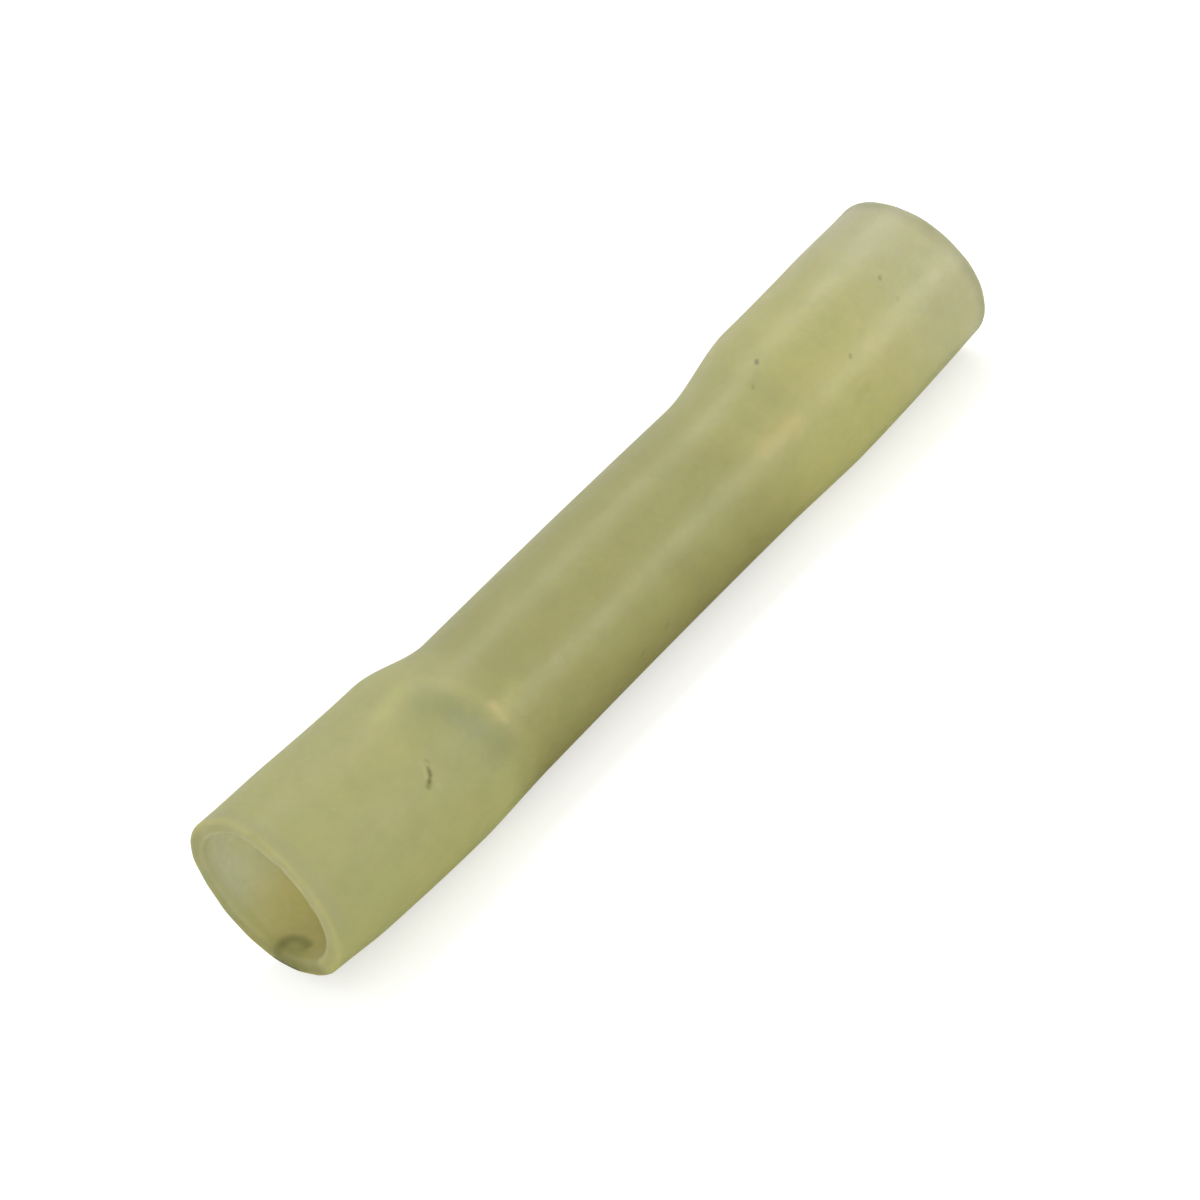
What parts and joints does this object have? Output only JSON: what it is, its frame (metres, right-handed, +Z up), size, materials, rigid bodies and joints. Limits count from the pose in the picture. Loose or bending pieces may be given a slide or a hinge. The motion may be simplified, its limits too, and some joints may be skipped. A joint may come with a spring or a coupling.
{
  "type": "insulated butt connector",
  "caption": "Heat shrink butt connector: a wide yellow sleeve, necked down in the middle onto a tinned crimp barrel, joins two wires end to end.",
  "frame": {"origin": "on the table, below the middle of the sleeve", "axes": "+X along the tube towards the end with the longer flare, +Z up"},
  "size_m": [0.04, 0.0074, 0.0078],
  "materials": {
    "sleeve": "satin translucent yellow, paler towards one end",
    "barrel": "tin plated, satin grey"
  },
  "bodies": {
    "root": {"sleeve": "sleeve", "crimp_barrel": "barrel"}
  },
  "joints": []
}
